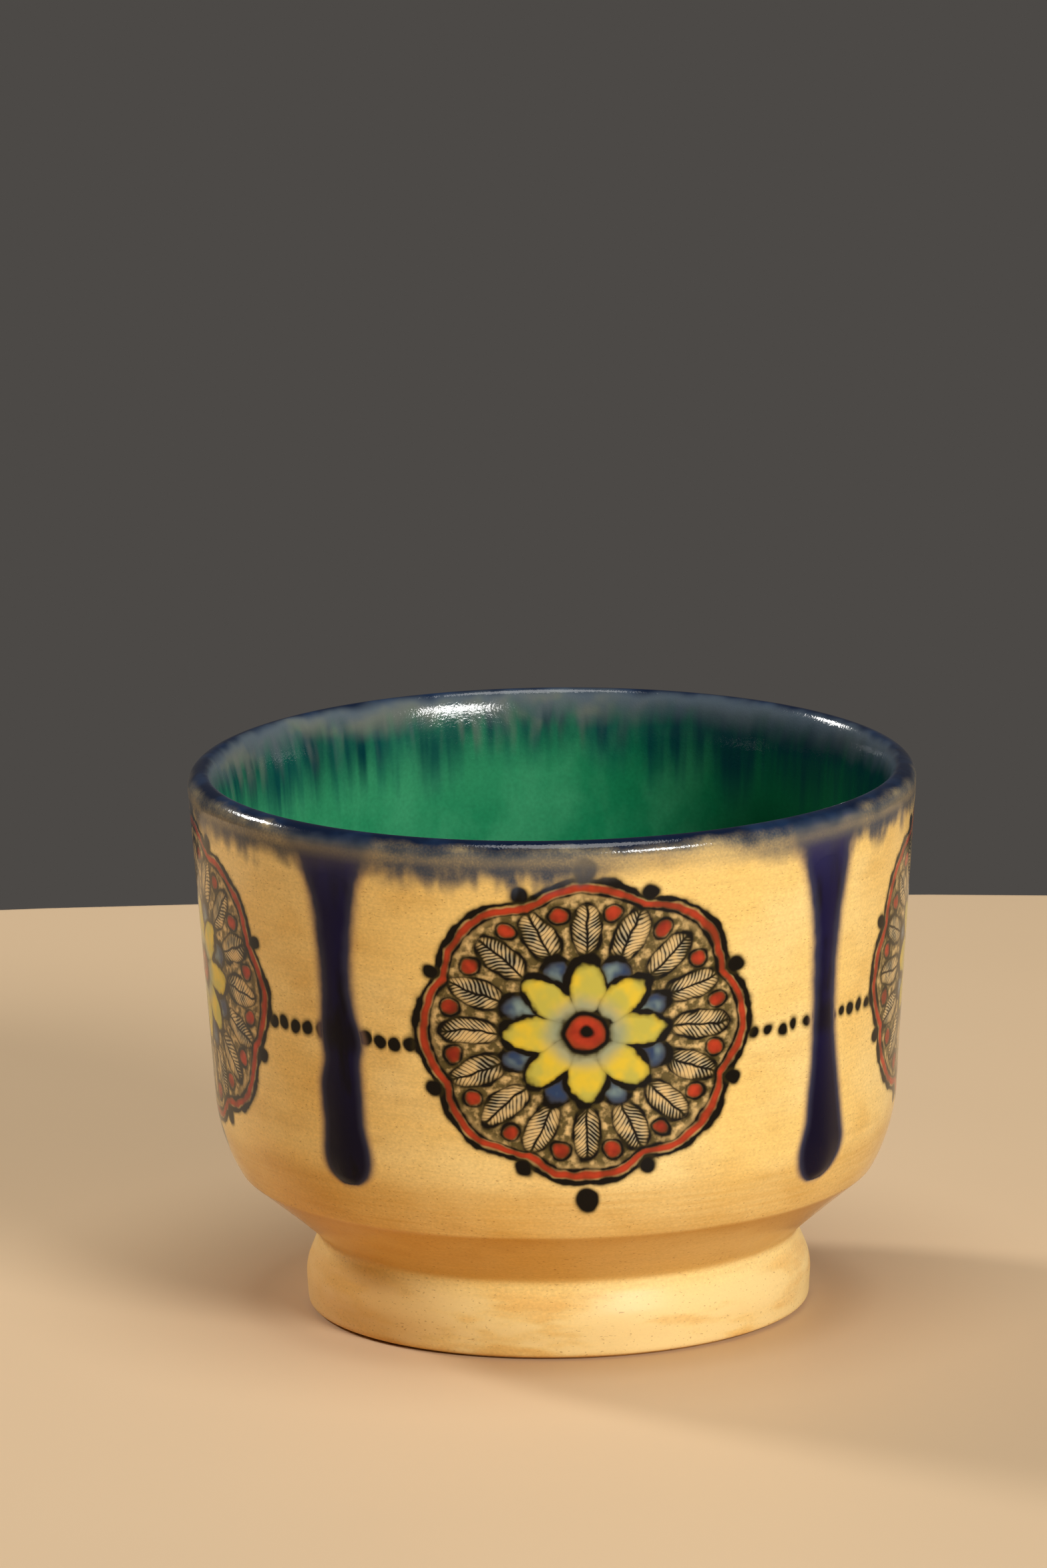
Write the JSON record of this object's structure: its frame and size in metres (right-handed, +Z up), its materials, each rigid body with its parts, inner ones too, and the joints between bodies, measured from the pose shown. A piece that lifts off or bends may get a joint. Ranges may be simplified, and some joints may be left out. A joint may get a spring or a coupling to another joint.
{
  "type": "ceramic cup",
  "caption": "Handleless glazed ceramic cup with a rounded belly on a turned foot, for tea, coffee or other hot drinks; glaze lining, rim band and runs are separate pieces.",
  "frame": {"origin": "middle of the base, on the surface that the cup stands on", "axes": "+Z up along the cup's axis, -Y towards the front medallion"},
  "size_m": [0.096, 0.096, 0.0724],
  "materials": {
    "clay": "bare fired buff clay, matt",
    "clear_glaze": "honey clear glaze over buff clay, glossy",
    "green_glaze": "emerald glaze with dark streaks, glossy",
    "rim_glaze": "cobalt glaze breaking to grey-tan, glossy",
    "blue_glaze": "thick dark blue glaze, glossy"
  },
  "bodies": {
    "root": {"clay_body": "clay", "foot_ring": "clay", "outer_glaze": "clear_glaze", "lining_glaze": "green_glaze", "rim_glaze": "rim_glaze", "glaze_run_1": "blue_glaze", "glaze_run_2": "blue_glaze", "glaze_run_3": "blue_glaze", "glaze_run_4": "blue_glaze"}
  },
  "joints": []
}
